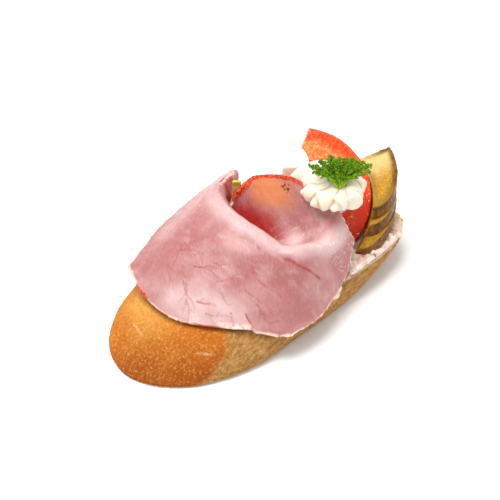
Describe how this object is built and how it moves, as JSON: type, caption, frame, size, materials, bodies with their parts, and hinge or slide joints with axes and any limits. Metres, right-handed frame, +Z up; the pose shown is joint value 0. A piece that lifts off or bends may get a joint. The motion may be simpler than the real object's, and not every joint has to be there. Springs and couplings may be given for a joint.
{
  "type": "open sandwich",
  "caption": "Open sandwich on a bias-cut slab of white loaf with ham salad, a folded slice of ham, tomato, egg, gherkin fan, piped cream rosette and parsley.",
  "frame": {"origin": "point on the flat underside of the bread, on the object's long middle, 67 mm from the round crust end", "axes": "+X along the sandwich towards its cut end, where tomato and gherkins stand; +Z up; -Y the side on which ham and gherkin fan come down to the edge"},
  "size_m": [0.1421, 0.0766, 0.059],
  "materials": {
    "crust": "browned crust with a pale crumb side, matt",
    "salad": "chunky spread, moist",
    "ham": "cooked ham, moist satin",
    "tomato": "cut tomato, wet",
    "egg": "boiled egg white, satin",
    "cheese": "cream coloured strip, satin",
    "gherkin": "pickled gherkin, wet",
    "cream": "piped cream, soft satin",
    "parsley": "curly leaves, matt"
  },
  "bodies": {
    "root": {"bread": "crust", "ham_salad": "salad", "ham_slice": "ham", "tomato_slice": "tomato", "egg_slice": "egg", "egg_piece": "egg", "cheese_strip": "cheese", "gherkin_slice_1": "gherkin", "gherkin_slice_2": "gherkin", "gherkin_slice_3": "gherkin", "cream_rosette": "cream", "parsley_sprig": "parsley"}
  },
  "joints": []
}
